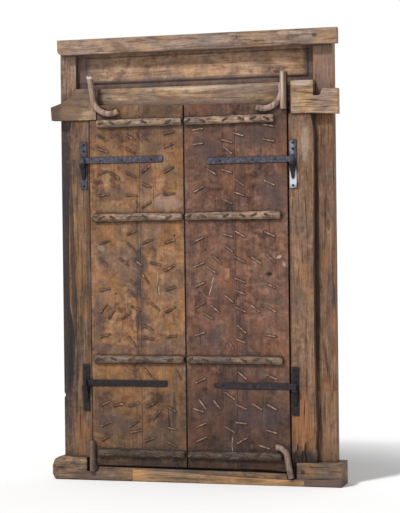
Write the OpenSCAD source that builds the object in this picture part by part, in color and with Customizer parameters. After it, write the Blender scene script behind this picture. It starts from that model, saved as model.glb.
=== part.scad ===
// A double door of old teak in its own frame, seen from the side where it is barred and hinged.
// Each leaf is two planks held by four poles and many clenched nails, and its outer plank is carved
// into curved horns above and below. Four iron strap hinges let the leaves swing towards -Y.
// X runs along the wall and Z is up. The origin is on the floor, midway between the outer edges of
// the two posts, in the plane of the posts' front faces. Sizes are in millimetres.

/* [Frame] */
// Width over the outer edges of the two posts
frame_w = 1490; // [1450:5:1560]
// Height of the whole frame
frame_h = 2348; // [2320:4:2400]
// Depth of the posts, front to back
post_d = 66; // [60:1:80]
// Width of the left post
left_post_w = 87; // [78:1:95]
// Width of the right post
right_post_w = 102; // [90:1:110]
// Height of the lap joint where a new foot is let into the right post
post_joint_z = 486; // [400:2:600]
// Height of the cap board across the top
cap_h = 80; // [60:1:100]
// Thickness of the cap board
cap_t = 45; // [35:1:50]
// How far the cap board runs past the right post
cap_over = 32; // [5:1:60]

/* [Lintel and panel] */
// How far the lintel's underside lies below the frame's top
lintel_drop = 433; // [420:1:445]
// Height of the lintel
lintel_h = 168; // [150:1:180]
// Thickness of the lintel's two tails, which lie on the posts
tail_t = 50; // [44:1:52]
// Thickness of the tongue round the transom panel
panel_t = 12; // [8:1:18]
// How far the panel's field stands out of its tongue
field_t = 8; // [4:1:12]
// How deep the panel's tongue enters its grooves
groove_d = 12; // [6:1:18]
// Width of the bevel round the panel's field
field_bevel = 9; // [3:1:12]
// Width of the chamfer along the lintel's upper front edge
chamfer_w = 14; // [6:1:18]

/* [Jambs] */
// Distance from the left post's outer edge to the clear opening
left_inset = 173; // [165:1:185]
// Distance from the right post's outer edge to the clear opening
right_inset = 226; // [216:1:240]
// How far the jambs stand out in front of the posts
jamb_t = 40; // [30:1:42]
// Width of the stops behind the leaves
stop_w = 27; // [18:1:32]

/* [Sill] */
// Height of the sill
sill_h = 120; // [100:1:130]
// How far the sill stands out in front of the posts
sill_front = 60; // [55:1:75]
// How far the sill runs out behind the posts
sill_back = 44; // [20:1:60]
// How far the sill's hewn left end runs past the left post
sill_left = 49; // [30:1:60]
// How far the sill's sawn right end runs past the right post
sill_right = 34; // [20:1:60]
// Height of the ledge under the leaves at its left end
ledge_z = 72; // [64:1:78]
// How much lower the worn ledge lies at its right end
ledge_fall = 10; // [0:1:14]
// Depth of the new piece let into the sill's front, front to back
splice_d = 28; // [15:1:40]

/* [Leaves] */
// Share of the leaves' joint width that the left leaf takes
left_share = 0.4855; // [0.475:0.0005:0.5]
// Thickness of the leaves
leaf_t = 42; // [36:1:45]
// How far the leaves' room face stands in front of the posts
leaf_front = 50; // [48:1:54]
// Width of each leaf's outer plank
plank_w = 277; // [270:1:285]
// Gap between the two planks of a leaf
seam_gap = 1.2; // [0.4:0.1:3]
// Gap between a leaf and its jamb
jamb_gap = 7; // [5:0.5:10]
// Gap between the two leaves where they meet
meeting_gap = 8; // [7:0.5:14]
// Gap between the leaves and the ledge of the sill
floor_gap = 8; // [6:0.5:12]
// How far the leaves reach up over the lintel at the meeting line
leaf_over = 64; // [58:1:74]
// How much the right leaf's bottom droops at its outer corner
droop = 11; // [0:1:12]
// Radius of the hidden dowels between the planks
dowel_r = 7; // [5:0.5:9]
// Length of the hidden dowels
dowel_l = 80; // [50:2:100]

/* [Poles] */
// Radius of the poles
pole_r = 23; // [20:0.5:25]
// How far the poles stand out of the leaf
pole_proud = 28; // [24:0.5:34]
// Height of the bottom poles above the leaves' bottom
bottom_pole_up = 68; // [66:1:74]
// Height of the lower poles, as a share of the leaves' height
lower_pole_share = 0.2975; // [0.285:0.0005:0.315]
// Height of the upper poles, as a share of the leaves' height
upper_pole_share = 0.6925; // [0.67:0.0005:0.705]
// How far the top poles lie below the leaves' top
top_pole_down = 85; // [83:1:98]

/* [Horns] */
// Width of the carved horns
horn_w = 30; // [24:1:32]
// How far the horns stand out
horn_d = 26; // [20:1:30]
// Radius of the top horns' hook, to the middle of its width
hook_r = 95; // [85:1:100]
// Height of the centre of the top hooks above the lintel's underside
hook_rise = 125; // [118:1:132]
// Height of the left top horn's broken tip above that centre
left_tip_rise = 111; // [95:1:125]
// Height of the right top horn's end above that centre
right_tip_rise = 90; // [70:1:110]
// Radius of the bottom right horn's bow
bow_r = 53; // [45:1:58]

/* [Hinges] */
// Height of the straps
strap_h = 30; // [26:1:34]
// Thickness of the straps
strap_t = 5; // [4:0.5:7]
// Radius of the hinge pins
pin_r = 5; // [4:0.1:6]
// Running clearance between a pin and its eye, on the radius
pin_play = 0.08; // [0.05:0.01:0.1]
// Outer radius of the rolled eyes
eye_r = 10; // [9:0.5:12]
// Width of the plates on the jambs
plate_w = 36; // [34:1:40]
// Height of the plates
plate_h = 248; // [230:2:260]
// Thickness of the plates
plate_t = 5; // [4:0.5:6]
// Distance from a strap's middle up to its plate's top
plate_above = 98; // [90:1:106]
// Length of the tapered tail under each pin
tail_l = 85; // [70:1:95]
// Height of the upper left strap, as a share of the leaves' height
upper_left_share = 0.853; // [0.835:0.0005:0.86]
// Height of the upper right strap, as a share of the leaves' height
upper_right_share = 0.8435; // [0.835:0.0005:0.86]
// Height of the lower left strap, as a share of the leaves' height
lower_left_share = 0.2305; // [0.22:0.0005:0.24]
// Height of the lower right strap, as a share of the leaves' height
lower_right_share = 0.2275; // [0.22:0.0005:0.24]

/* [Nails] */
// Radius of the nails' shanks
nail_r = 3; // [2.5:0.1:3.5]
// Clearance round a shank in wood, on the radius
nail_play = 0.25; // [0.15:0.05:0.4]
// Radius of the domed heads on the far face
head_r = 9; // [7:0.5:10]
// Height of the domed heads
head_h = 6; // [4:0.5:7]
// Length of the point that is bent over on the room face
clench_l = 65; // [55:1:70]
// Width of the bent point
clench_w = 7; // [5:0.5:9]
// How far the bent points stand out of the planks
clench_proud = 6.5; // [4:0.5:8]
// Length of the shorter bent points on the poles
pole_clench_l = 36; // [28:1:40]
// How far the bent points on the poles stand out of their notches
pole_clench_proud = 4.5; // [4:0.5:5]
// How deep the bent points on the poles are sunk in
clench_sunk = 5; // [4.5:0.5:7]

/* [Hidden] */
$fn = 48;
nail_fn = 16;

// The two sides are numbered, so that one module can make either leaf
LEFT = 0;
RIGHT = 1;

// Colours as the photograph shows them
teak = [0.55, 0.42, 0.31];
red_teak = [0.48, 0.33, 0.25];
grey_teak = [0.58, 0.5, 0.42];
pale_teak = [0.74, 0.56, 0.38];
dark_teak = [0.36, 0.27, 0.21];
blue_iron = [0.31, 0.33, 0.39];
black_iron = [0.17, 0.17, 0.18];

// Places of the frame
left_x = -frame_w/2;
right_x = frame_w/2;
left_post_in = left_x + left_post_w;
right_post_in = right_x - right_post_w;
open_l = left_x + left_inset;
open_r = right_x - right_inset;
lintel_z = frame_h - lintel_drop;
lintel_top = lintel_z + lintel_h;
cap_z = frame_h - cap_h;
stop_gap = 2;
leaf_back = leaf_front - leaf_t;
stop_y = stop_gap - leaf_back;
seat_play = 0.4;

// Frame joinery
tenon_t = 30;
tenon_l = 60;
tenon_inset = 14;
peg_r = 9;
peg_play = 0.2;
peg_in = 32;
lap_h = 80;

// The lintel's hewn tails: distance inwards from a post's outer edge, height above the underside
left_tail = [[-35, 5], [-40, 75], [-23, 81], [18, 95], [77, 129], [97, 150], [105, lintel_h]];
right_tail = [[93, lintel_h], [93, 88], [60, 88], [43, 123], [-35, 122], [-35, -7], [104, 0]];
tail_splits = [[182, 72, -22, 56, 4], [176, 57, 56, 47, 3], [60, 30, 0, 26, 2.5]];
left_tail_end = 45;
right_tail_end = 16;

// The jambs' waney outer edges: lap over the post, share of the jamb's height
left_wane = [[14, 1], [21, 0.97], [38, 0.56], [34, 0.45], [-4, 0.33], [4, 0.25], [38, 0.03], [38, 0]];
right_wane = [[-8, 1], [7, 0.95], [0, 0.6], [-2, 0.33], [7, 0.1], [1, 0.045], [9, 0.02], [5, 0]];

// Burnt hollows at the foot of the right jamb: from, to, height, width, depth
burns = [[14, 18, 60, 16, 5], [34, 30, 95, 20, 7], [54, 58, 70, 18, 6], [76, 72, 110, 22, 8]];

// Splits in the jambs: distance from the opening and thousandths of the leaves' height, start and end
left_jamb_splits = [[70, 60, 64, 190], [84, 330, 80, 520], [66, 560, 72, 700]];
right_jamb_splits = [[78, 290, 84, 470], [90, 640, 84, 760], [66, 120, 70, 200]];

// The sill's notches for the feet of the horns, from the leaf's outer edge, and their floors
notch_out = [34, 36];
notch_in = [36, -15];
notch_z = [46, 35];
foot_lift = 2;
splice_l = 0.623*frame_w;
splice_from = 0.27*frame_w;
splice_top = [64, 50, 36, 30];

// The leaves
leaf_x = [open_l + jamb_gap, open_r - jamb_gap];
both_w = open_r - open_l - 2*jamb_gap - meeting_gap;
leaf_w = [left_share*both_w, (1 - left_share)*both_w];
leaf_z = ledge_z + floor_gap;
leaf_top = lintel_z + leaf_over;
leaf_h = leaf_top - leaf_z;
top_rise = [15, -4];
droop_l = 120;
corner_w = 45;
corner_gap = 5;
dowel_play = 0.2;
dowel_at = [211, 548, 850];

// The poles: their outer ends' distance from the leaf's edge, bottom to top
pole_z = [leaf_z + bottom_pole_up, leaf_z + lower_pole_share*leaf_h, leaf_z + upper_pole_share*leaf_h,
    leaf_top - top_pole_down];
pole_from = [[31, 11, 21, 41], [38, 29, 33, 63]];
pole_end_gap = 2;
pole_taper = 1.5;

// The horns stand just clear of the lintel's tail; places are from the leaf's outer edge
horn_gap = 2;
horn_y = leaf_front + horn_gap;
root_d = 8;
hook_u = hook_r + 23;
hook_set = 4;
leg_set = 1;
hook_z = lintel_z + hook_rise;
top_lean = 8;
foot_lean = 10;
bar_top = 196;
bow_u = bow_r + 14;
bow_z = 145;

// The hinges
hinge_set = [37, 30];
hinge_y = leaf_front + eye_r;
strap_z = [[leaf_z + lower_left_share*leaf_h, leaf_z + upper_left_share*leaf_h],
    [leaf_z + lower_right_share*leaf_h, leaf_z + upper_right_share*leaf_h]];
strap_at = [[1.58, 1.535], [1.46, 1.54]];
shoulder_gap = 0.3;
pin_over = 7;
spike = 12;
spike_l = 55;
spike_drop = 32;
plate_nail_in = 50;
plate_nail_dz = [plate_above - 14, plate_above - 46, plate_above - plate_h + 14];
rivet_at = [0.22, 0.65, 1.28];

// Places on a leaf. Across, 0 to 1 is the outer plank from the leaf's outer edge to the seam, and
// 1 to 2 the inner plank. Upwards, they are thousandths of the leaves' height.
// Nails of the planks: for each row its height and the tilt of the point in each column.
// "none" is a place with no nail, and the single nails stand between the columns.
none = 99;
nail_at = [[0.18, 0.74, 1.05, 1.57], [0.25, 0.83, 1.06, 1.63]];
left_rows = [[922, [-27, -30, -42, 10]], [885, [-19, -30, none, 20]], [816, [13, -24, 38, 27]],
    [786, [none, none, -22, none]], [754, [8, -3, none, 5]], [720, [none, none, 28, none]],
    [645, [none, 20, none, none]], [620, [15, -42, 19, 16]], [579, [-44, none, none, none]],
    [544, [none, none, none, 28]], [532, [none, none, -55, none]], [490, [8, -41, none, 16]],
    [428, [48, none, none, 28]], [392, [none, none, -25, none]], [359, [16, -48, -13, 8]],
    [273, [none, none, -48, none]], [167, [27, 18, none, -26]], [110, [23, 29, none, -14]],
    [70, [28, none, 19, -28]]];
left_singles = [[0.42, 817, -32], [0.58, 578, -36], [0.87, 575, -35], [1.22, 566, -14], [0.8, 517, -40],
    [0.35, 412, 51], [0.63, 412, 32], [0.81, 445, -24], [1.24, 453, -40], [1.78, 269, -61],
    [0.43, 167, 12], [1.13, 166, 27], [1.25, 132, 48], [0.78, 94, 11]];
right_rows = [[933, [11, none, none, -7]], [910, [none, 16, none, none]], [893, [11, none, 16, -7]],
    [863, [none, none, 40, none]], [810, [none, none, 18, none]], [774, [25, 35, none, -29]],
    [747, [none, 19, none, none]], [726, [none, none, 26, none]], [635, [24, 30, 15, -24]],
    [594, [none, none, 38, none]], [565, [43, 28, none, -23]], [510, [none, 22, none, -23]],
    [495, [25, none, none, none]], [478, [none, 20, none, none]], [456, [none, none, 38, -31]],
    [430, [33, 23, none, none]], [373, [none, 41, none, -17]], [362, [9, none, none, none]],
    [345, [none, 21, none, none]], [328, [none, none, 55, none]], [247, [23, 40, none, -26]],
    [191, [none, none, 37, none]], [164, [27, 22, none, 52]], [124, [none, 6, none, -25]],
    [100, [15, none, 29, none]], [85, [none, -30, none, -25]]];
right_singles = [[1.37, 806, 31], [0.52, 562, 33], [1.29, 562, 45], [1.39, 536, 33], [1.83, 535, 40],
    [0.55, 430, 35], [1.34, 428, 41], [1.47, 411, 29], [1.81, 405, 40], [0.54, 164, 31],
    [1.34, 164, 50], [1.68, 155, 15], [1.83, 142, 40], [0.39, 57, 17]];
pole_nail_at = [[0.22, 0.43, 0.78, 1.09, 1.64], [0.33, 0.58, 0.81, 1.12, 1.57, 1.87]];
pole_tilts = [28, -24, 30, -28, 22, -30];

// Splits and knot holes in the planks: leaf, place across and up at the start and end, and width
plank_splits = [[LEFT, 1.42, 534, 1.38, 474, 4], [LEFT, 1.59, 174, 1.63, 86, 4], [LEFT, 0.93, 640, 0.95, 770, 3],
    [LEFT, 0.92, 330, 0.95, 420, 3], [LEFT, 1.33, 705, 1.31, 785, 3], [RIGHT, 1.44, 522, 1.55, 479, 4],
    [RIGHT, 1.11, 82, 1.1, 48, 4], [RIGHT, 0.34, 640, 0.37, 690, 3], [RIGHT, 0.5, 168, 0.52, 205, 3],
    [RIGHT, 1.72, 330, 1.74, 400, 3]];
split_d = 6;
knots = [[RIGHT, 0.34, 532, 8], [LEFT, 1.78, 640, 5], [LEFT, 0.5, 480, 4], [RIGHT, 1.6, 600, 4]];

// Marks in the poles: leaf, pole, place across, and 0 for a drilled hole or the tilt of a saw cut
pole_marks = [[LEFT, 2, 0.14, 58], [LEFT, 2, 0.66, 58], [LEFT, 2, 0.97, 0], [RIGHT, 2, 1.78, 0],
    [LEFT, 3, 1.45, 62], [LEFT, 0, 0.66, 56], [RIGHT, 1, 0.52, 60], [RIGHT, 3, 1.03, 0]];
mark_r = 4;
mark_w = 5;
mark_d = 5;

// A patch of new wood near the right leaf's seam
plug_in = 33;
plug_at = 514;
plug_w = 29;
plug_h = 68;
plug_d = 12;
plug_play = 0.3;
plug_proud = 1.5;

function top_at(i, u) = leaf_top + top_rise[i]*(1 - u/leaf_w[i]);
function seam_in() = plank_w + seam_gap;
function across(i, a) = a < 1 ? a*plank_w : seam_in() + (a - 1)*(leaf_w[i] - seam_in());
function up(a) = leaf_z + leaf_h*a/1000;
dowel_z = [for (a = dowel_at) up(a)];
strap_end = [for (i = [LEFT, RIGHT]) [for (k = [0, 1]) across(i, strap_at[i][k])]];
plug_u = seam_in() + plug_in;
plug_z = up(plug_at);

// A nail's place is kept if its bent point runs clear of poles, straps, dowels, the plug, the edges
// and the nails before it
function nail_lo(n) = min(0, clench_l*sin(n[2])) + n[1] - clench_w;
function nail_hi(n) = max(0, clench_l*sin(n[2])) + n[1] + clench_w;
function crosses(n, z, half) = nail_hi(n) > z - half && nail_lo(n) < z + half;
function along(n, t) = [n[0], n[1]] + t*clench_l*[cos(n[2]), sin(n[2])];
function in_plug(p) = abs(p[0] - plug_u - plug_w/2) < plug_w/2 + clench_w
    && abs(p[1] - plug_z - plug_h/2) < plug_h/2 + clench_w;
function off_line(p, a, b) = let (t = max(0, min(1, (p - a)*(b - a)/((b - a)*(b - a))))) norm(p - a - t*(b - a));
function too_near(m, n) = norm(along(m, 0) - along(n, 0)) < 2*head_r + 1
    || min([for (t = [0, 0.5, 1]) off_line(along(m, t), along(n, 0), along(n, 1))]) < clench_w
    || min([for (t = [0, 0.5, 1]) off_line(along(n, t), along(m, 0), along(m, 1))]) < clench_w;
function hits(i, n) = len([for (z = pole_z) if (crosses(n, z, pole_r - 1)) z])
    + len([for (k = [0, 1]) if (n[0] < strap_end[i][k] + 10 && crosses(n, strap_z[i][k], strap_h/2)) k])
    + len([for (z = dowel_z) if (abs(n[1] - z) < dowel_r + 6 && abs(n[0] - plank_w) < dowel_l) z])
    + len([for (t = [0, 0.5, 1]) if (i == RIGHT && in_plug(along(n, t))) t])
    + (n[0] + clench_l*cos(n[2]) > leaf_w[i] - 3 ? 1 : 0);
function all_nails(i) = concat(
    [for (row = i == LEFT ? left_rows : right_rows) for (c = [0 : 3])
        if (row[1][c] != none) [across(i, nail_at[i][c]), up(row[0]), row[1][c]]],
    [for (n = i == LEFT ? left_singles : right_singles) [across(i, n[0]), up(n[1]), n[2]]]);
function clear_nails(i) = [for (n = all_nails(i)) if (hits(i, n) == 0) n];
function spaced(list) = [for (k = [0 : len(list) - 1])
    if (len([for (j = [0 : 1 : k - 1]) if (too_near(list[j], list[k])) j]) == 0) list[k]];
kept_nails = [for (i = [LEFT, RIGHT]) spaced(clear_nails(i))];
function nails(i) = kept_nails[i];
function pole_nails(i) = [for (z = pole_z) for (k = [0 : len(pole_nail_at[i]) - 1])
    let (tilt = pole_tilts[k], u = across(i, pole_nail_at[i][k]))
        if (u + pole_clench_l*cos(tilt) < leaf_w[i] - 3) [u, z - sign(tilt)*7, tilt]];

// Stands a drawing up in the wall's plane, its back at distance y behind the posts' front faces
module board(y, t) translate([0, y, 0]) rotate([90, 0, 0]) linear_extrude(t) children();

// Places what is drawn from a leaf's outer edge inwards
module on_leaf(i) translate([leaf_x[i], 0, 0]) mirror([i, 0, 0]) children();

// A round bar along Y from the plane y towards the room
module rod(x, z, r, y, l) translate([x, y, z]) rotate([90, 0, 0]) cylinder(r = r, h = l);

// A drilled or driven spherical cap on the plane y; out is 1 for the far side and -1 for the room side
module dome(x, z, r, h, y, out) {
    ball = (r*r + h*h)/(2*h);
    translate([x, y, z]) rotate([-90*out, 0, 0]) rotate_extrude() intersection() {
        translate([0, h - ball]) circle(r = ball);
        square([r, h]);
    }
}

// A split in a timber's face, from p to q in the wall's plane, widest in its middle
module split(p, q, w, face_y, deep) {
    side = w/2*[q[1] - p[1], p[0] - q[0]]/norm(q - p);
    board(deep - face_y, deep + 1) polygon([p, (p + q)/2 + side, q, (p + q)/2 - side]);
}

// Frame timbers
module sill_outline() polygon([[left_x - sill_left, 26], [left_x - sill_left, 74],
    [left_x - sill_left + 13, 108], [left_x - sill_left + 34, sill_h],
    [right_x + sill_right, sill_h], [right_x + sill_right, 0], [left_x - sill_left + 16, 0]]);

function notch_x(i, side) = leaf_x[i] + (i == LEFT ? -side : side);

module ledge_outline() polygon([[notch_x(LEFT, notch_out[LEFT]), sill_h + 1],
    [notch_x(LEFT, notch_out[LEFT]), notch_z[LEFT]], [notch_x(LEFT, -notch_in[LEFT]) - 16, notch_z[LEFT]],
    [notch_x(LEFT, -notch_in[LEFT]) - 5, notch_z[LEFT] + 8], [notch_x(LEFT, -notch_in[LEFT]), ledge_z],
    [notch_x(RIGHT, notch_in[RIGHT]), ledge_z - ledge_fall], [notch_x(RIGHT, notch_in[RIGHT]), notch_z[RIGHT]],
    [notch_x(RIGHT, notch_out[RIGHT]), notch_z[RIGHT]], [notch_x(RIGHT, notch_out[RIGHT]), sill_h + 1]]);

module splice_outline(play) {
    x = left_x + splice_from;
    step = splice_l/3;
    polygon(concat([for (k = [0 : 3]) [x + k*step + (k == 0 ? -play : k == 3 ? play : 0), splice_top[k] + play]],
        [[x + splice_l + play, -play], [x - play, -play]]));
}

module mortise(x, w) translate([x + tenon_inset - seat_play, (post_d - tenon_t)/2 - seat_play,
    sill_h - tenon_l - 1]) cube([w - 2*tenon_inset + 2*seat_play, tenon_t + 2*seat_play, tenon_l + 2]);

module tenon(x, w) translate([x + tenon_inset, (post_d - tenon_t)/2, sill_h - tenon_l])
    cube([w - 2*tenon_inset, tenon_t, tenon_l + 1]);

left_jamb_w = open_l - left_post_in;
right_jamb_w = right_post_in - open_r;

module sill() color(dark_teak) difference() {
    board(post_d + sill_back, post_d + sill_back + sill_front) sill_outline();
    board(stop_y, stop_y + sill_front + 1) ledge_outline();
    board(splice_d - sill_front, splice_d + 1) splice_outline(seat_play);
    mortise(left_x, left_post_w);
    mortise(right_post_in, right_post_w);
    mortise(left_post_in, left_jamb_w);
    mortise(open_r, right_jamb_w);
    split([right_x - 176, 37], [right_x + sill_right + 6, 45], 5, sill_front, 9);
    split([right_x - 150, 98], [right_x - 40, 102], 3, sill_front, 6);
}

module sill_splice() color(pale_teak) board(splice_d - sill_front - seat_play, splice_d - seat_play)
    splice_outline(0);

// Pegs from behind: x, z, and how deep they enter the timber in front of the post
function post_mid(i) = i == LEFT ? left_x + left_post_w/2 : right_x - right_post_w/2;
function pegs() = [for (i = [LEFT, RIGHT]) for (k = [-1, 1])
    each [[post_mid(i) + 16*k, lintel_z + 48 - 22*k], [post_mid(i) + 22*k, cap_z + cap_h/2 - 14*k]]];
module peg_holes(r) for (p = pegs()) rod(p[0], p[1], r, post_d + 1, post_d + 1 + peg_in);
module foot_peg(r, play) rod(post_mid(RIGHT), post_joint_z + lap_h/2, r, post_d + play, post_d - 6 + play);

module lintel() color(teak) difference() {
    union() {
        board(post_d, post_d - stop_y) translate([left_post_in, lintel_z])
            square([right_post_in - left_post_in, lintel_h]);
        board(0, tail_t) polygon(concat([for (p = left_tail) [left_x + p[0], lintel_z + p[1]]],
            [[open_l + left_tail_end, lintel_top], [open_l + left_tail_end, lintel_z]]));
        board(0, tail_t) polygon(concat([for (p = right_tail) [right_x - p[0], lintel_z + p[1]]],
            [[open_r + right_tail_end, lintel_z], [open_r + right_tail_end, lintel_top]]));
    }
    peg_holes(peg_r + peg_play);
    groove(lintel_top - groove_d - seat_play, lintel_top + 1);
    translate([open_l + left_tail_end, stop_y, lintel_top - chamfer_w]) rotate([45, 0, 0])
        translate([0, -2*chamfer_w, 0]) cube([open_r + right_tail_end - open_l - left_tail_end, 4*chamfer_w,
            2*chamfer_w]);
    for (c = tail_splits) split([right_x - c[0], lintel_z + c[1]], [right_x - c[2], lintel_z + c[3]], c[4],
        tail_t, 7);
}

// The groove that the panel's tongue sits in, between two heights
groove_y = 28;
module groove(z0, z1) translate([left_post_in - groove_d - seat_play, groove_y - seat_play, z0])
    cube([right_post_in - left_post_in + 2*(groove_d + seat_play), panel_t + 2*seat_play, z1 - z0]);

panel_over = 30;
panel_top = cap_z + panel_over;
field_margin = [50, 28, 26, 12];
module transom_panel() color(teak) union() {
    translate([left_post_in - groove_d, groove_y, lintel_top - groove_d])
        cube([right_post_in - left_post_in + 2*groove_d, panel_t, panel_top - lintel_top + groove_d]);
    field(left_post_in + field_margin[0], right_post_in - field_margin[1], lintel_top + field_margin[2],
        cap_z - field_margin[3]);
}

// The panel's raised field: two bevelled bars that cross, each seen end on
module bevelled(a, b) polygon([[a, 1], [a, 0], [a + field_bevel, -field_t], [b - field_bevel, -field_t],
    [b, 0], [b, 1]]);
module field(x0, x1, z0, z1) translate([0, groove_y, 0]) intersection() {
    translate([0, 0, z0 - 1]) linear_extrude(z1 - z0 + 2) bevelled(x0, x1);
    translate([x0 - 1, 0, 0]) rotate([90, 0, 90]) linear_extrude(x1 - x0 + 2)
        rotate(90) mirror([0, 1]) bevelled(z0, z1);
}

corner_r = 28;
module cap_rail() color(grey_teak) difference() {
    board(0, cap_t) difference() {
        translate([left_x - 1, cap_z]) square([frame_w + 1 + cap_over, cap_h]);
        translate([left_x - 1, cap_z]) difference() {
            translate([-1, -1]) square(corner_r + 1);
            translate([corner_r, corner_r]) circle(r = corner_r);
        }
    }
    peg_holes(peg_r + peg_play);
}

module post_body(x, w, z0, z1) translate([x, 0, z0]) cube([w, post_d, z1 - z0]);

module left_post() color(teak) difference() {
    union() {
        post_body(left_x, left_post_w, sill_h, frame_h);
        tenon(left_x, left_post_w);
    }
    board(post_d + 1, post_d + 2) translate([left_x, 445]) polygon([[-1, -16], [6, -4], [7, 6], [-1, 14]]);
    peg_holes(peg_r + peg_play);
    groove(lintel_top - groove_d - seat_play, panel_top + seat_play);
}

module right_post() color(teak) difference() {
    post_body(right_post_in, right_post_w, post_joint_z, frame_h);
    translate([right_post_in - 1, post_d/2, post_joint_z - 1]) cube([right_post_w + 2, post_d, lap_h + 1]);
    peg_holes(peg_r + peg_play);
    foot_peg(peg_r + peg_play, 1);
    groove(lintel_top - groove_d - seat_play, panel_top + seat_play);
}

module right_post_foot() color(dark_teak) difference() {
    union() {
        post_body(right_post_in, right_post_w, sill_h, post_joint_z + lap_h);
        tenon(right_post_in, right_post_w);
    }
    translate([right_post_in - 1, -1, post_joint_z]) cube([right_post_w + 2, post_d/2 + 1, lap_h + 1]);
    foot_peg(peg_r + peg_play, 1);
}

module frame_pegs() color(pale_teak) {
    for (p = pegs()) rod(p[0], p[1], peg_r, post_d, post_d + peg_in - 1);
    foot_peg(peg_r, 0);
}

// One rebated timber: a flange on the post's front, a body beside the post, and the leaf's stop
jamb_h = lintel_z - sill_h;
module jamb(i) {
    s = i == LEFT ? 1 : -1;
    edge = i == LEFT ? open_l : open_r;
    post_in = i == LEFT ? left_post_in : right_post_in;
    difference() {
        union() {
            board(0, jamb_t) polygon(concat(
                [for (p = i == LEFT ? left_wane : right_wane) [post_in - s*p[0], sill_h + p[1]*jamb_h]],
                [[edge, sill_h], [edge, lintel_z]]));
            board(post_d, post_d - stop_y) translate([min(edge + s*stop_w, post_in), sill_h])
                square([abs(edge + s*stop_w - post_in), jamb_h]);
            board(0, -stop_y + 1) translate([min(edge, post_in), sill_h])
                square([abs(edge - post_in), jamb_h]);
            tenon(min(edge, post_in), abs(edge - post_in));
        }
        if (i == RIGHT) for (c = burns) split([edge + c[0], sill_h - 1], [edge + c[1], sill_h + c[2]], c[3],
            jamb_t, c[4]);
        for (c = i == LEFT ? left_jamb_splits : right_jamb_splits)
            split([edge - s*c[0], up(c[1])], [edge - s*c[2], up(c[3])], 3.5, jamb_t, 7);
        for (k = [0, 1]) {
            x = leaf_x[i] - s*hinge_set[i];
            translate([x - spike/2 - seat_play, 1 - plate_t - jamb_t, strap_z[i][k] - spike_drop - spike/2
                - seat_play]) cube([spike + 2*seat_play, spike_l + seat_play + plate_t, spike + 2*seat_play]);
            for (dz = plate_nail_dz) rod(x, strap_z[i][k] + dz, nail_r + nail_play, plate_nail_in - jamb_t
                + 1, plate_nail_in + 2);
        }
    }
}
module left_jamb() color(teak) jamb(LEFT);
module right_jamb() color(teak) jamb(RIGHT);

// Hinges
function axis_x(i) = leaf_x[i] + (i == LEFT ? -hinge_set[i] : hinge_set[i]);

module hinge_plate(i, k) {
    x = axis_x(i);
    z = strap_z[i][k];
    difference() {
        board(-jamb_t, plate_t) translate([x - plate_w/2, z + plate_above - plate_h])
            square([plate_w, plate_h]);
        for (dz = plate_nail_dz) rod(x, z + dz, nail_r + nail_play, 1 - jamb_t, plate_t + 2);
        translate([x - spike/2 - seat_play, -jamb_t - plate_t - 1, z - spike_drop - spike/2 - seat_play])
            cube([spike + 2*seat_play, plate_t + 2, spike + 2*seat_play]);
    }
}
module upper_left_hinge_plate() color(blue_iron) hinge_plate(LEFT, 1);
module lower_left_hinge_plate() color(black_iron) hinge_plate(LEFT, 0);
module upper_right_hinge_plate() color(blue_iron) hinge_plate(RIGHT, 1);
module lower_right_hinge_plate() color(black_iron) hinge_plate(RIGHT, 0);

// A pin on a shoulder, a tapered tail that lies on the plate, and a spike into the jamb
module pintle(i, k) {
    plate_y = jamb_t + plate_t;
    z = strap_z[i][k] - strap_h/2 - shoulder_gap;
    nose_y = hinge_y + eye_r + 4;
    translate([axis_x(i), 0, z]) {
        translate([0, -hinge_y, -5]) cylinder(r = pin_r, h = 5 + shoulder_gap + strap_h + pin_over);
        intersection() {
            board(0, nose_y + 1) polygon([[-15, 0], [15, 0], [13, -30], [7, -tail_l], [-7, -tail_l],
                [-13, -30]]);
            translate([-20, 0, 0]) rotate([90, 0, 90]) linear_extrude(40) polygon([[-plate_y, 0],
                [-nose_y, 0], [-nose_y, -12], [-hinge_y, -30], [-plate_y - 5, -tail_l],
                [-plate_y, -tail_l]]);
        }
    }
    translate([axis_x(i) - spike/2, -plate_y - 3, strap_z[i][k] - spike_drop - spike/2])
        cube([spike, spike_l + 3, spike]);
}
module upper_left_pintle() color(black_iron) pintle(LEFT, 1);
module lower_left_pintle() color(black_iron) pintle(LEFT, 0);
module upper_right_pintle() color(black_iron) pintle(RIGHT, 1);
module lower_right_pintle() color(black_iron) pintle(RIGHT, 0);

module hinge_plate_nails() color(black_iron) for (i = [LEFT, RIGHT]) for (k = [0, 1])
    for (dz = plate_nail_dz) union() {
        rod(axis_x(i), strap_z[i][k] + dz, nail_r, plate_nail_in - jamb_t, plate_nail_in + plate_t + 1);
        dome(axis_x(i), strap_z[i][k] + dz, head_r - 2, head_h - 2, -jamb_t - plate_t, -1);
    }

// A strap on a leaf, rolled into an eye round the pin; the lower right one has a tapered end
taper_end = 60;
module strap(i, k) {
    z = strap_z[i][k];
    end = strap_end[i][k];
    tip = i == RIGHT && k == 0 ? taper_end : 2;
    on_leaf(i) difference() {
        union() {
            translate([-hinge_set[i], -hinge_y, z - strap_h/2]) cylinder(r = eye_r, h = strap_h);
            board(-leaf_front, strap_t) polygon([[-hinge_set[i], z - strap_h/2], [end - tip, z - strap_h/2],
                [end, z - (tip > 2 ? strap_h/4 : strap_h/2 - 2)], [end, z + (tip > 2 ? strap_h/4 : strap_h/2)],
                [end - tip, z + strap_h/2], [-hinge_set[i], z + strap_h/2]]);
        }
        translate([-hinge_set[i], -hinge_y, z - strap_h]) cylinder(r = pin_r + pin_play, h = 2*strap_h);
        for (a = rivet_at) rod(across(i, a), z, nail_r + nail_play, 1 - leaf_front, strap_t + 2);
    }
}
module upper_left_strap() color(blue_iron) strap(LEFT, 1);
module lower_left_strap() color(black_iron) strap(LEFT, 0);
module upper_right_strap() color(blue_iron) strap(RIGHT, 1);
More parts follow.
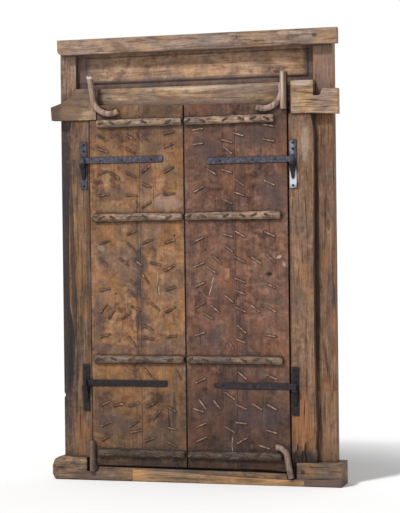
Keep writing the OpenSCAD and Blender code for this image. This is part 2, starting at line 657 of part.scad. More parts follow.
module lower_right_strap() color(black_iron) strap(RIGHT, 0);

// Nails: a domed head on the far face, a shank, and a point bent over on the room face
module nail(u, z, tilt, face, l, proud, $fn = nail_fn) union() {
    dome(u, z, head_r, head_h, -leaf_back, 1);
    rod(u, z, nail_r, 1 - leaf_back, face - leaf_back + 2);
    translate([u, -face, z]) rotate([0, -tilt, 0]) translate([0, 0, -clench_w/2]) linear_extrude(clench_w)
        polygon([[-nail_r - 0.5, 0], [-nail_r - 0.5, 1 - proud], [0, -proud], [12, 0.5 - proud],
            [l - 6, 2.5 - proud], [l - 6, 0]]);
}

module rivet(u, z, $fn = nail_fn) union() {
    dome(u, z, head_r, head_h, -leaf_back, 1);
    rod(u, z, nail_r, 1 - leaf_back, leaf_t + strap_t + 2);
    dome(u, z, head_r - 3, 3, -leaf_front - strap_t, -1);
}

module shank_holes(i, $fn = nail_fn) {
    for (n = nails(i)) rod(n[0], n[1], nail_r + nail_play, 1 - leaf_back, leaf_t + 2);
    for (n = pole_nails(i)) rod(n[0], n[1], nail_r + nail_play, 1 - leaf_back, leaf_t + 2);
    for (k = [0, 1]) for (a = rivet_at) rod(across(i, a), strap_z[i][k], nail_r + nail_play, 1 - leaf_back, leaf_t + 2);
}

pole_face = leaf_front + pole_proud - clench_sunk;
module leaf_nails(i) on_leaf(i) for (n = nails(i)) nail(n[0], n[1], n[2], leaf_front, clench_l,
    clench_proud);
module pole_nail_set(i) on_leaf(i) for (n = pole_nails(i)) nail(n[0], n[1], n[2], pole_face, pole_clench_l,
    pole_clench_proud);
module rivets(i) on_leaf(i) for (k = [0, 1]) for (a = rivet_at) rivet(across(i, a), strap_z[i][k]);
module left_clenched_nails() color(grey_teak) leaf_nails(LEFT);
module right_clenched_nails() color(grey_teak) leaf_nails(RIGHT);
module left_pole_nails() color(grey_teak) pole_nail_set(LEFT);
module right_pole_nails() color(grey_teak) pole_nail_set(RIGHT);
module left_strap_rivets() color(black_iron) rivets(LEFT);
module right_strap_rivets() color(black_iron) rivets(RIGHT);

// Planks
module outer_outline(i) {
    low = leaf_z - (i == RIGHT ? droop : 0);
    if (i == LEFT) polygon([[0, low], [plank_w, leaf_z], [plank_w, top_at(i, plank_w)],
        [corner_w, top_at(i, corner_w)], [corner_w, lintel_z - corner_gap], [0, lintel_z - corner_gap]]);
    else polygon([[0, low], [droop_l, leaf_z], [plank_w, leaf_z], [plank_w, top_at(i, plank_w)],
        [0, top_at(i, 0)]]);
}

module dowel_set(i, r, l) for (z = dowel_z) translate([plank_w + seam_gap/2 - l/2, -leaf_front + leaf_t/2, z])
    rotate([0, 90, 0]) cylinder(r = r, h = l);
module left_dowels() color(pale_teak) on_leaf(LEFT) dowel_set(LEFT, dowel_r, dowel_l);
module right_dowels() color(pale_teak) on_leaf(RIGHT) dowel_set(RIGHT, dowel_r, dowel_l);

// The horns' section: flat behind, half round in front; deep takes it back into the plank
module horn_section(deep) intersection() {
    union() {
        translate([-horn_w/2, -deep]) square([horn_w, deep + horn_d - horn_w/2]);
        translate([0, horn_d - horn_w/2]) circle(d = horn_w);
    }
    translate([-horn_w/2, -deep]) square([horn_w, deep + horn_d]);
}
module arc(c, r, a, b, deep) translate([c[0], c[1], 0]) rotate([0, 0, a]) rotate_extrude(angle = b - a)
    translate([r, 0]) horn_section(deep);
module leg(p, q, deep) translate([p[0], p[1], 0]) rotate([0, 0, atan2(q[1] - p[1], q[0] - p[0])])
    rotate([90, 0, 90]) linear_extrude(norm(q - p)) horn_section(deep);
module knuckle(p, deep) translate([p[0], p[1], 0]) rotate_extrude() intersection() {
    horn_section(deep);
    translate([0, -deep]) square([horn_w, deep + horn_d]);
}
module horn_plane() translate([0, -horn_y, 0]) rotate([90, 0, 0]) children();

function on_arc(c, r, a) = [c[0] + r*cos(a), c[1] + r*sin(a)];

// The left top horn leans outwards and ends in two splintered points
module top_horn_left(deep) {
    c = [hook_u, hook_z];
    from = on_arc(c, hook_r, 184 + top_lean);
    tip = [from[0] - tan(top_lean)*(hook_z + left_tip_rise - from[1]), hook_z + left_tip_rise];
    difference() {
        union() {
            arc(c, hook_r, 180 + top_lean, 300, deep);
            translate([0, 0, -leg_set]) leg(from, tip, deep);
        }
        translate([tip[0], tip[1], -deep - 1]) linear_extrude(horn_d + deep + 2)
            polygon([[-20, -12], [-7, -2], [-1, -12], [6, -4], [20, -14], [20, 20], [-20, 20]]);
    }
}
module top_horn_right(deep) {
    translate([0, 0, -hook_set]) arc([hook_u, hook_z], hook_r, 160, 293, deep);
    leg([horn_w/2, leaf_top - 40], [horn_w/2, hook_z + right_tip_rise], max(deep, leaf_t - 6));
}
module bottom_horn_left(deep) {
    leg([0, bar_top], [0, notch_z[LEFT] + foot_lift], deep);
    knuckle([0, bar_top], deep);
}
module bottom_horn_right(deep) {
    c = [bow_u, bow_z];
    from = on_arc(c, bow_r, 176 - foot_lean);
    foot_z = notch_z[RIGHT] + foot_lift + sin(foot_lean)*horn_w/2;
    arc(c, bow_r, 84, 180 - foot_lean, deep);
    translate([0, 0, -leg_set]) leg(from, [from[0] - tan(foot_lean)*(from[1] - foot_z), foot_z], deep);
}
module horns(i, deep) {
    if (i == LEFT) { top_horn_left(deep); bottom_horn_left(deep); }
    else { top_horn_right(deep); bottom_horn_right(deep); }
}

// The splits and knot holes of one leaf, as bodies to cut away
module plank_wear(i) {
    for (c = plank_splits) if (c[0] == i) split([across(i, c[1]), up(c[2])], [across(i, c[3]), up(c[4])], c[5],
        leaf_front, split_d);
    for (c = knots) if (c[0] == i) rod(across(i, c[1]), up(c[2]), c[3], split_d - leaf_front, split_d + 1);
}

module outer_plank(i) on_leaf(i) difference() {
    union() {
        board(-leaf_back, leaf_t) outer_outline(i);
        horn_plane() horns(i, 0);
        intersection() {
            horn_plane() horns(i, root_d);
            board(root_d - horn_y, root_d) outer_outline(i);
        }
    }
    shank_holes(i);
    plank_wear(i);
    dowel_set(i, dowel_r + dowel_play, dowel_l + 2*seat_play);
}
module inner_plank(i) on_leaf(i) difference() {
    board(-leaf_back, leaf_t) polygon([[seam_in(), leaf_z], [leaf_w[i], leaf_z], [leaf_w[i], top_at(i, leaf_w[i])],
        [seam_in(), top_at(i, seam_in())]]);
    shank_holes(i);
    plank_wear(i);
    dowel_set(i, dowel_r + dowel_play, dowel_l + 2*seat_play);
    if (i == RIGHT) board(plug_d - leaf_front, plug_d + 1) translate([plug_u - plug_play, plug_z - plug_play])
        square([plug_w + 2*plug_play, plug_h + 2*plug_play]);
}
module left_outer_plank() color(teak) outer_plank(LEFT);
module left_inner_plank() color(teak) inner_plank(LEFT);
module right_outer_plank() color(red_teak) outer_plank(RIGHT);
module right_inner_plank() color(red_teak) inner_plank(RIGHT);
module wood_plug() color(pale_teak) on_leaf(RIGHT) board(plug_d - leaf_front, plug_d + plug_proud)
    translate([plug_u, plug_z]) square([plug_w, plug_h]);

// A pole, rounded at both ends and flattened against the leaf, notched for its bent nail points
module pole(i, k) {
    from = pole_from[i][k];
    l = leaf_w[i] - pole_end_gap - from;
    on_leaf(i) difference() {
        intersection() {
            translate([from, -leaf_front - pole_proud + pole_r, pole_z[k]]) rotate([0, 90, 0])
                rotate_extrude() polygon([[0, 0], [pole_r - 8, 0], [pole_r - 3, 4], [pole_r, 14],
                    [pole_r - pole_taper, l - 12], [pole_r - pole_taper - 3, l - 3],
                    [pole_r - pole_taper - 8, l], [0, l]]);
            translate([from - 1, -leaf_front - 2*pole_r - 10, pole_z[k] - pole_r - 1])
                cube([l + 2, 2*pole_r + 10, 2*pole_r + 2]);
        }
        for (c = pole_marks) if (c[0] == i && c[1] == k) translate([across(i, c[2]), mark_d - leaf_front
            - pole_proud, pole_z[k]]) rotate([90, -c[3], 0]) {
                if (c[3] == 0) cylinder(r = mark_r, h = mark_d + 1);
                else translate([-pole_r, -mark_w/2, 0]) cube([2*pole_r, mark_w, mark_d + 1]);
            }
        for (n = pole_nails(i)) if (abs(n[1] - pole_z[k]) < pole_r) {
            rod(n[0], n[1], nail_r + nail_play, 1 - leaf_front, pole_proud + 2);
            translate([n[0], -pole_face, n[1]]) rotate([0, -n[2], 0])
                translate([-nail_r - 1, -10, -clench_w/2 - nail_play])
                cube([pole_clench_l - 1, 10, clench_w + 2*nail_play]);
        }
    }
}
module left_bottom_pole() color(grey_teak) pole(LEFT, 0);
module left_lower_pole() color(grey_teak) pole(LEFT, 1);
module left_upper_pole() color(grey_teak) pole(LEFT, 2);
module left_top_pole() color(grey_teak) pole(LEFT, 3);
module right_bottom_pole() color(grey_teak) pole(RIGHT, 0);
module right_lower_pole() color(grey_teak) pole(RIGHT, 1);
module right_upper_pole() color(grey_teak) pole(RIGHT, 2);
module right_top_pole() color(grey_teak) pole(RIGHT, 3);

sill();
sill_splice();
lintel();
cap_rail();
left_post();
right_post();
right_post_foot();
left_jamb();
right_jamb();
transom_panel();
frame_pegs();
upper_left_hinge_plate();
lower_left_hinge_plate();
upper_right_hinge_plate();
lower_right_hinge_plate();
upper_left_pintle();
lower_left_pintle();
upper_right_pintle();
lower_right_pintle();
hinge_plate_nails();
left_outer_plank();
left_inner_plank();
left_dowels();
left_bottom_pole();
left_lower_pole();
left_upper_pole();
left_top_pole();
left_clenched_nails();
left_pole_nails();
upper_left_strap();
lower_left_strap();
left_strap_rivets();
right_outer_plank();
right_inner_plank();
right_dowels();
right_bottom_pole();
right_lower_pole();
right_upper_pole();
right_top_pole();
right_clenched_nails();
right_pole_nails();
upper_right_strap();
lower_right_strap();
right_strap_rivets();
wood_plug();
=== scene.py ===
import math
import bpy
from mathutils import Matrix, Vector


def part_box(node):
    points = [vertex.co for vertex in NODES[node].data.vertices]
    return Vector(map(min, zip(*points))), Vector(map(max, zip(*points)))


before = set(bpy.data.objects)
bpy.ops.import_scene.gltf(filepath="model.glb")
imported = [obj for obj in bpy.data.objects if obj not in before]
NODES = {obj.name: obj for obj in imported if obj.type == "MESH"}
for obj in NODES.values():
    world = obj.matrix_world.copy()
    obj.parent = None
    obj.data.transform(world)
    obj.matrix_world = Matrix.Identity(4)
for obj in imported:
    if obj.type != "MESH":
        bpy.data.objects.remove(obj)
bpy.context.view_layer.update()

scene = bpy.context.scene

# Camera, fitted to the photograph: it stands to the right of the door, far off, with a long lens.
# Metres and degrees
CAMERA_AT = (2.4625, -8.2399, 1.2469)
CAMERA_YAW = 16.477
CAMERA_PITCH = -0.417
CAMERA_ROLL = -0.674
LENS_MM = 114.8
SENSOR_MM = 36
CLIP_FROM, CLIP_TO = 0.1, 100

# Stage: metres, degrees and strengths of light. The floor turns into the white background between
# FADE_FROM and FADE_TO from its middle
WHITE = (1, 1, 1, 1)
WHITE_STRENGTH = 1.0
SKY_STRENGTH = 0.55
SUN_STRENGTH = 2.6
SUN_SPREAD = 8
SUN_WAY = (0.38, 0.72, -0.85)
FLOOR_COLOUR = (0.9, 0.9, 0.9, 1)
FLOOR_REACH = 30.0
FLOOR_DROP = 0.001
FADE_FROM, FADE_TO = 1.0, 2.6

# The door's woods, from the photograph: light, middle, dark, greyed and golden
LEFT_WOOD = ((182, 142, 106), (150, 106, 72), (88, 56, 42), (112, 92, 84), (174, 120, 68))
RIGHT_WOOD = ((160, 118, 96), (122, 84, 65), (68, 43, 36), (98, 76, 72), (148, 94, 64))
CAP_WOOD = ((200, 170, 148), (166, 136, 116), (96, 74, 62), (156, 138, 130), (186, 144, 102))
PANEL_WOOD = ((196, 160, 130), (164, 129, 103), (100, 74, 62), (124, 106, 102), (188, 147, 106))
LINTEL_WOOD = ((212, 180, 152), (176, 142, 112), (108, 82, 66), (146, 126, 120), (196, 152, 104))
POST_WOOD = ((176, 134, 98), (142, 102, 74), (82, 56, 42), (118, 94, 84), (162, 106, 64))
GREY_POST_WOOD = ((178, 148, 124), (142, 114, 94), (70, 52, 44), (112, 96, 90), (170, 124, 82))
JAMB_WOOD = ((188, 148, 116), (150, 112, 86), (88, 60, 46), (126, 106, 98), (172, 120, 72))
FOOT_WOOD = ((184, 140, 110), (158, 118, 90), (110, 76, 56), (146, 118, 102), (178, 128, 84))
SILL_WOOD = ((184, 150, 116), (136, 108, 84), (74, 56, 45), (108, 92, 86), (166, 126, 82))
SPLICE_WOOD = ((216, 176, 130), (186, 144, 102), (132, 96, 68), (150, 128, 106), (206, 154, 96))
POLE_WOOD = ((204, 174, 148), (158, 128, 106), (76, 58, 47), (132, 116, 108), (170, 132, 98))
PLUG_WOOD = ((180, 128, 96), (160, 108, 80), (126, 82, 60), (140, 108, 90), (176, 120, 80))

# The horns' two tones, light and dark
HORN_WOOD = ((172, 146, 132), (116, 92, 80))

# Colours of dirt, damp and wear on the wood, and tones of painted shade and painted shadow: close to what
# stands on the wood, beside the right jamb, and on the panel's margins, foot and top
# Soot and dark marks, and the painted shadow on the right post beside the jamb
SOOT_AND_SHADOW = (30, 23, 21)
CHAR = (44, 36, 37)
# Grime, with painted shade, close to what stands on the wood
GRIME_AND_SHADE_TONE = (48, 37, 35)
INK = (58, 47, 47)
STAIN = (66, 50, 44)
# Painted shadow of the lintel along the panel's foot, and the panel's right margin, dirty and in painted
# shade
PANEL_FOOT_SHADOW = (70, 58, 60)
WARM_MARGIN_DIRT_AND_SHADE = (70, 58, 58)
BLUE_STAIN = (72, 59, 60)
# Painted shadow of the cap along the panel's top
CAP_SHADOW = (78, 64, 60)
DAMP = (84, 68, 66)
DEEP_BROWN = (84, 62, 48)
# The panel's left margin, dirty and in painted shade
MARGIN_DIRT_AND_SHADE = (84, 72, 72)
DUSK = (110, 90, 86)
GREYED = (126, 110, 104)
RUST = (138, 84, 44)
AMBER = (146, 94, 54)
RESIN = (150, 132, 104)
BLEACHED = (158, 132, 118)
SCAR = (188, 160, 140)
PALE_SCAR = (196, 176, 160)
LIME = (190, 178, 172)
FRESH = (214, 198, 178)

# Bare metal on the right leaf's upper hinge plate
WORN_STEEL = (150, 156, 170)
BRIGHT_STEEL = (200, 200, 208)

# Darker towards the floor, and a little under the lintel: low height, high height, low share, high share
LEFT_SHADE = ((0.11, 0.15, 0.36, 1.0), (0.3, 0.72, 0.62, 1.0), (1.6, 1.95, 1.0, 0.72))
RIGHT_SHADE = ((0.11, 0.15, 0.55, 1.0), (0.3, 0.75, 0.47, 1.0), (1.3, 2.0, 1.0, 0.76))
LEFT_POST_SHADE = ((1.85, 1.95, 0.8, 1.05),)
RIGHT_POST_SHADE = ((1.9, 2.05, 1.0, 1.22),)
LEFT_JAMB_SHADE = ((0.1, 0.5, 0.85, 1.0),)

# The horns of each outer plank: two tones, height above which the tip is fresh wood, brightness at the foot.
# The right leaf's horns have no fresh tip, so that height is above the door
LEFT_HORN = (HORN_WOOD, 2.145, 0.37)
RIGHT_HORN = (HORN_WOOD, 3.0, 0.66)

# Stains, and on the panel and the right post painted shade and shadow, each an ellipse on the door's face:
# middle (x, z) and reach (x, z) in metres, turn in degrees, colour, share, raggedness of the edge
LEFT_OUTER_STAINS = (
    ((-0.300, 1.00), (0.012, 0.36), 0, INK, 0.5, 1.8),
    ((-0.300, 1.18), (0.022, 0.05), -12, INK, 0.7, 1.3),
    ((-0.296, 1.03), (0.03, 0.06), -25, INK, 0.75, 1.3),
    ((-0.297, 0.86), (0.024, 0.04), -20, INK, 0.6, 1.3),
    ((-0.30, 0.72), (0.02, 0.04), 0, INK, 0.5, 1.3),
    ((-0.50, 1.22), (0.03, 0.07), 0, BLUE_STAIN, 0.5, 0.8),
    ((-0.47, 1.29), (0.05, 0.05), 0, RUST, 0.35, 0.9),
    ((-0.505, 1.235), (0.02, 0.02), 0, RESIN, 0.5, 1.2),
    ((-0.50, 1.40), (0.06, 0.03), 0, SOOT_AND_SHADOW, 0.4, 0.8),
    ((-0.43, 1.52), (0.10, 0.035), 8, BLUE_STAIN, 0.5, 0.9),
    ((-0.34, 1.63), (0.05, 0.06), 0, INK, 0.45, 0.9),
    ((-0.53, 0.85), (0.03, 0.14), 0, BLUE_STAIN, 0.5, 0.9),
    ((-0.45, 0.30), (0.12, 0.05), 0, BLUE_STAIN, 0.5, 0.9),
    ((-0.45, 0.70), (0.12, 0.03), 0, BLUE_STAIN, 0.4, 0.9),
    ((-0.44, 1.85), (0.12, 0.03), 0, STAIN, 0.4, 0.9),
    ((-0.50, 0.45), (0.1, 0.12), 0, STAIN, 0.25, 0.9),
)
LEFT_INNER_STAINS = (
    ((-0.281, 1.02), (0.010, 0.34), 0, INK, 0.5, 1.8),
    ((-0.278, 1.11), (0.022, 0.06), -20, INK, 0.7, 1.3),
    ((-0.275, 0.85), (0.03, 0.04), -20, INK, 0.6, 1.3),
    ((-0.28, 0.74), (0.03, 0.03), 0, INK, 0.5, 1.3),
    ((-0.19, 1.04), (0.0025, 0.05), 4, FRESH, 0.5, 0.5),
    ((-0.14, 0.70), (0.09, 0.04), 0, BLUE_STAIN, 0.4, 0.9),
    ((-0.18, 1.96), (0.12, 0.03), 0, STAIN, 0.6, 0.9),
    ((-0.14, 1.47), (0.09, 0.035), 0, BLEACHED, 0.5, 1.0),
    ((-0.11, 0.38), (0.01, 0.09), 0, SOOT_AND_SHADOW, 0.6, 0.9),
    ((-0.25, 1.62), (0.03, 0.07), 0, INK, 0.4, 0.9),
    ((-0.16, 1.83), (0.14, 0.08), 0, BLUE_STAIN, 0.34, 0.9),
)
RIGHT_OUTER_STAINS = (
    ((0.405, 1.091), (0.009, 0.011), 0, SOOT_AND_SHADOW, 0.9, 0.4),
    ((0.470, 1.176), (0.022, 0.014), -20, SOOT_AND_SHADOW, 0.6, 0.9),
    ((0.467, 1.180), (0.014, 0.008), 20, PALE_SCAR, 0.6, 1.4),
    ((0.492, 1.14), (0.007, 0.013), 20, SCAR, 0.5, 1.4),
    ((0.44, 1.52), (0.08, 0.1), 0, BLUE_STAIN, 0.5, 0.9),
    ((0.34, 1.80), (0.1, 0.05), 0, BLUE_STAIN, 0.5, 0.9),
    ((0.505, 0.06), (0.02, 0.025), 0, SOOT_AND_SHADOW, 0.5, 0.5),
    ((0.497, 2.07), (0.004, 0.07), 0, FRESH, 0.65, 0.7),
    ((0.40, 2.00), (0.04, 0.02), 0, INK, 0.5, 0.6),
    ((0.30, 0.80), (0.1, 0.05), 0, STAIN, 0.45, 0.9),
    ((0.36, 0.35), (0.12, 0.06), 0, BLUE_STAIN, 0.5, 0.9),
    ((0.26, 1.55), (0.025, 0.12), 0, INK, 0.5, 1.0),
    ((0.40, 1.84), (0.12, 0.08), 0, STAIN, 0.42, 0.9),
    ((0.26, 1.0), (0.02, 0.2), 0, STAIN, 0.4, 1.0),
)
RIGHT_INNER_STAINS = (
    ((0.10, 1.03), (0.003, 0.045), -15, FRESH, 0.6, 0.6),
    ((0.204, 0.205), (0.003, 0.035), 0, FRESH, 0.5, 0.6),
    ((0.06, 0.75), (0.08, 0.05), 0, BLUE_STAIN, 0.5, 0.9),
    ((0.21, 1.3), (0.025, 0.2), 0, INK, 0.45, 1.0),
    ((0.21, 0.9), (0.03, 0.12), 0, STAIN, 0.45, 0.9),
    ((0.08, 1.75), (0.08, 0.06), 0, BLUE_STAIN, 0.4, 0.9),
    ((0.08, 0.42), (0.07, 0.06), 0, INK, 0.4, 0.9),
)
LINTEL_STAINS = (
    ((0.60, 2.07), (0.05, 0.014), 0, LIME, 0.5, 1.2),
    ((0.1, 2.07), (0.3, 0.008), 0, FRESH, 0.4, 1.8),
    ((-0.15, 1.985), (0.35, 0.03), 0, DUSK, 0.6, 0.9),
    ((0.35, 2.05), (0.2, 0.03), -4, BLUE_STAIN, 0.45, 0.9),
    # Darker at the lintel's left end
    ((-0.70, 1.98), (0.14, 0.1), 30, DEEP_BROWN, 0.68, 0.5),
    ((-0.76, 1.95), (0.03, 0.08), 0, STAIN, 0.6, 0.9),
    ((0.62, 2.02), (0.07, 0.006), -8, SOOT_AND_SHADOW, 0.6, 0.8),
)
CAP_STAINS = (
    ((0.66, 2.312), (0.014, 0.009), 0, SOOT_AND_SHADOW, 0.7, 0.6),
    ((0.25, 2.32), (0.005, 0.014), 0, STAIN, 0.6, 0.5),
    ((-0.4, 2.3), (0.05, 0.02), -30, STAIN, 0.5, 0.9),
    ((0.55, 2.33), (0.08, 0.008), 0, FRESH, 0.2, 1.8),
    ((0.1, 2.28), (0.3, 0.012), 3, STAIN, 0.45, 1.0),
)
PANEL_STAINS_AND_SHADE = (
    ((0.40, 2.17), (0.06, 0.02), 0, STAIN, 0.4, 0.9),
    ((-0.05, 2.21), (0.16, 0.015), 0, STAIN, 0.4, 0.9),
    # The dark margins, dirty and in painted shade, the lintel's painted shadow along the foot, the cap's
    # along the top
    ((-0.64, 2.2), (0.055, 0.3), 0, MARGIN_DIRT_AND_SHADE, 0.8, 0.25),
    ((-0.1, 2.105), (1.3, 0.024), 0, PANEL_FOOT_SHADOW, 0.8, 0.3),
    ((0.62, 2.2), (0.03, 0.3), 0, WARM_MARGIN_DIRT_AND_SHADE, 0.8, 0.25),
    ((0.1, 2.285), (1.2, 0.02), 0, CAP_SHADOW, 0.6, 0.3),
)
LEFT_POST_STAINS = (
    ((-0.73, 1.1), (0.055, 0.95), 0, CHAR, 0.95, 0.45),
    ((-0.70, 0.75), (0.02, 0.3), -2, SOOT_AND_SHADOW, 0.7, 0.7),
    ((-0.69, 2.1), (0.012, 0.08), 0, RUST, 0.3, 0.6),
)
RIGHT_POST_STAINS_AND_SHADOW = (
    # Painted shadow of the right jamb, down the post's inner edge
    ((0.655, 1.15), (0.012, 0.7), 0, SOOT_AND_SHADOW, 0.7, 0.5),
    ((0.70, 0.62), (0.008, 0.1), 8, SOOT_AND_SHADOW, 0.6, 0.5),
    ((0.715, 1.34), (0.01, 0.03), 0, SOOT_AND_SHADOW, 0.6, 0.5),
    ((0.72, 0.9), (0.02, 0.3), 0, BLUE_STAIN, 0.4, 0.9),
    ((0.70, 2.15), (0.06, 0.16), 0, GREYED, 0.45, 1.1),
    ((0.70, 1.62), (0.03, 0.1), 6, STAIN, 0.5, 0.9),
    ((0.71, 1.45), (0.006, 0.05), 4, SOOT_AND_SHADOW, 0.6, 0.9),
    ((0.74, 1.0), (0.005, 0.12), 2, SOOT_AND_SHADOW, 0.5, 0.9),
)
LEFT_JAMB_STAINS = (
    ((-0.67, 1.1), (0.012, 0.65), 1, SOOT_AND_SHADOW, 0.7, 0.8),
    ((-0.64, 0.25), (0.02, 0.1), 0, RUST, 0.4, 0.7),
    ((-0.585, 1.2), (0.01, 0.6), 0, STAIN, 0.5, 0.8),
    ((-0.64, 0.72), (0.02, 0.2), -6, SOOT_AND_SHADOW, 0.5, 0.8),
)
RIGHT_JAMB_STAINS = (
    ((0.58, 0.12), (0.11, 0.055), 0, SOOT_AND_SHADOW, 0.92, 0.7),
    ((0.56, 0.2), (0.01, 0.06), 0, SOOT_AND_SHADOW, 0.7, 0.5),
    ((0.60, 0.22), (0.008, 0.07), 4, SOOT_AND_SHADOW, 0.6, 0.5),
    ((0.605, 1.76), (0.02, 0.1), 0, FRESH, 0.2, 0.6),
    ((0.52, 0.9), (0.008, 0.6), 0, STAIN, 0.5, 0.8),
    ((0.57, 0.34), (0.06, 0.14), 0, AMBER, 0.55, 0.9),
)
SILL_STAINS = (
    ((0.69, 0.02), (0.16, 0.035), 0, DAMP, 0.75, 0.6),
    ((0.58, 0.073), (0.012, 0.01), 0, SOOT_AND_SHADOW, 0.8, 0.5),
    ((-0.6, 0.05), (0.06, 0.03), 30, STAIN, 0.5, 0.9),
)
SPLICE_STAINS = (((0.3, 0.025), (0.1, 0.004), 0, STAIN, 0.5, 0.7),)
PLATE_STAINS = (
    ((0.542, 1.585), (0.03, 0.05), 0, BRIGHT_STEEL, 0.9, 0.5),
    ((0.535, 1.74), (0.012, 0.04), 0, WORN_STEEL, 0.5, 0.9),
)

# Each wooden piece: its tones, the axis of its grain and the settings of its teak, as teak() takes them
LEAF = dict(streaks=0.2, patches=0.6, adze=0.005, pores=0.12, shade_and_grime=0.85, warm=0.55, cool=0.5, lines=0.14,
            gain=0.88)
JAMB = dict(streaks=0.45, adze=0.004)
WOODS = (
    ("left_outer_plank", LEFT_WOOD, "Z",
     dict(LEAF, seed=1.3, shade=LEFT_SHADE, horn=LEFT_HORN, stains_and_shade=LEFT_OUTER_STAINS)),
    ("left_inner_plank", LEFT_WOOD, "Z",
     dict(LEAF, seed=2.9, shade=LEFT_SHADE, stains_and_shade=LEFT_INNER_STAINS)),
    ("right_outer_plank", RIGHT_WOOD, "Z",
     dict(LEAF, seed=4.1, shade=RIGHT_SHADE, horn=RIGHT_HORN, stains_and_shade=RIGHT_OUTER_STAINS)),
    ("right_inner_plank", RIGHT_WOOD, "Z",
     dict(LEAF, seed=5.7, shade=RIGHT_SHADE, stains_and_shade=RIGHT_INNER_STAINS)),
    ("lintel", LINTEL_WOOD, "X", dict(seed=7.2, streaks=0.55, gain=0.9, stains_and_shade=LINTEL_STAINS)),
    ("cap_rail", CAP_WOOD, "X", dict(seed=8.4, streaks=0.5, gain=0.9, stains_and_shade=CAP_STAINS)),
    ("transom_panel", PANEL_WOOD, "X",
     dict(seed=9.1, streaks=0.35, lines=0.4, cool=0.8, gain=1.0, shade_and_grime=0.6, stains_and_shade=PANEL_STAINS_AND_SHADE)),
    ("left_post", GREY_POST_WOOD, "Z",
     dict(seed=10.3, streaks=0.6, warm=0.8, cool=0.3, shade=LEFT_POST_SHADE, stains_and_shade=LEFT_POST_STAINS)),
    ("right_post", POST_WOOD, "Z",
     dict(seed=11.6, streaks=0.6, warm=0.7, cool=0.3, gain=0.88, lines=0.7, patches=0.7,
          shade=RIGHT_POST_SHADE, stains_and_shade=RIGHT_POST_STAINS_AND_SHADOW)),
    ("right_post_foot", FOOT_WOOD, "Z", dict(seed=12.8, streaks=0.6, cool=0.2, gain=0.82)),
    ("left_jamb", JAMB_WOOD, "Z",
     dict(JAMB, seed=13.9, warm=0.8, cool=0.35, gain=0.76, shade=LEFT_JAMB_SHADE, stains_and_shade=LEFT_JAMB_STAINS)),
    ("right_jamb", JAMB_WOOD, "Z",
     dict(JAMB, seed=15.2, warm=0.7, cool=0.4, gain=0.82, stains_and_shade=RIGHT_JAMB_STAINS)),
    ("sill", SILL_WOOD, "X", dict(seed=16.4, streaks=0.5, gain=0.9, stains_and_shade=SILL_STAINS)),
    ("sill_splice", SPLICE_WOOD, "X",
     dict(seed=17.5, streaks=0.6, patches=0.3, shade_and_grime=0.5, gain=0.9, stains_and_shade=SPLICE_STAINS)),
)

# The poles: sides, places and how bright each place is, the seeds, and the teak's settings
SIDES = ("left", "right")
POLE_PLACES = (("bottom", 0.48), ("lower", 0.74), ("upper", 0.92), ("top", 0.98))
POLE_SEED, PLACE_STEP, SIDE_STEP = 20, 4.3, 9.1
POLE = dict(streaks=0.45, patches=0.8, adze=0.008, long=0.25, shade_and_grime=0.8)

# The poles' skin: size of its voxels and, for each relief, the noise's extent and the strength in metres,
# the level that stays in place, and the direction
SKIN_VOXEL = 0.0028
RELIEF_NOISE_DEPTH = 2
POLE_RELIEFS = (("bend", 0.14, 0.007, 0.5, "Z"), ("knots", 0.03, 0.004, 1.0, "NORMAL"))

# Pegs, dowels and the plug share these settings
SMALL_WOODS = ("frame_pegs", "left_dowels", "right_dowels", "wood_plug")
SMALL_WOOD = dict(seed=31.0, gain=0.9)

# The irons: lightest, usual and rusted colour, seed, share of rust, bare places
IRONS = {
    "blue": ((96, 96, 110), (68, 66, 76), (70, 56, 54), 1.0, 0.3, ()),
    "silver": ((96, 96, 110), (68, 66, 76), (70, 56, 52), 1.5, 0.2, PLATE_STAINS),
    "black": ((46, 39, 44), (28, 22, 26), (40, 31, 29), 2.0, 0.4, ()),
    "plum": ((64, 53, 59), (42, 34, 39), (52, 38, 36), 2.6, 0.4, ()),
    "brown": ((168, 130, 100), (104, 76, 58), (50, 36, 30), 3.0, 0.6, ()),
    "ruddy": ((176, 144, 125), (126, 97, 82), (74, 54, 44), 4.0, 0.45, ()),
    "dull": ((124, 98, 82), (84, 64, 54), (52, 40, 34), 5.0, 0.5, ()),
}

# The teak's patterns: scale, detail, roughness and twist of each noise
PATTERNS = {
    "streak": (60.0, 6.0, 0.65, 0.9),
    "figure": (17.0, 5.0, 0.62, 1.8),
    "cloud": (9.0, 5.0, 0.6, 0.6),
    "warmth": (7.0, 3.0, 0.55, 0.5),
    "broad": (4.0, 3.0, 0.55, 0.3),
    "hewn": (30.0, 4.0, 0.6, 0.6),
    "fibre": (260.0, 2.0, 0.5, 0.0),
    "mottle": (16.0, 6.0, 0.7, 0.4),
    "check": (105.0, 3.0, 0.55, 0.8),
}
# How far each is drawn out along the grain, or in height
FIBRE_STRETCH = 0.04
CHECK_STRETCH = 0.6
ROUND_STRETCH = (1.0, 1.0, 0.8)
WARMTH_STRETCH = (1, 1, 0.75)
BROAD_STRETCH = (1, 1, 0.7)
HEWN_STRETCH = (0.9, 1, 1.2)
STREAKY = 0.4
SEED_Y, SEED_Z = 0.7, 1.3
FAR_X, FAR_Z = 31.0, -17.0

# The tone: what each pattern adds, and where dark, middle and light stand
STREAK_PART, FIGURE_PART, CLOUD_PART, HEWN_PART = 0.5, 0.5, 0.55, 0.45
DARK_AT, MIDDLE_AT, LIGHT_AT = 0.4, 0.49, 0.59

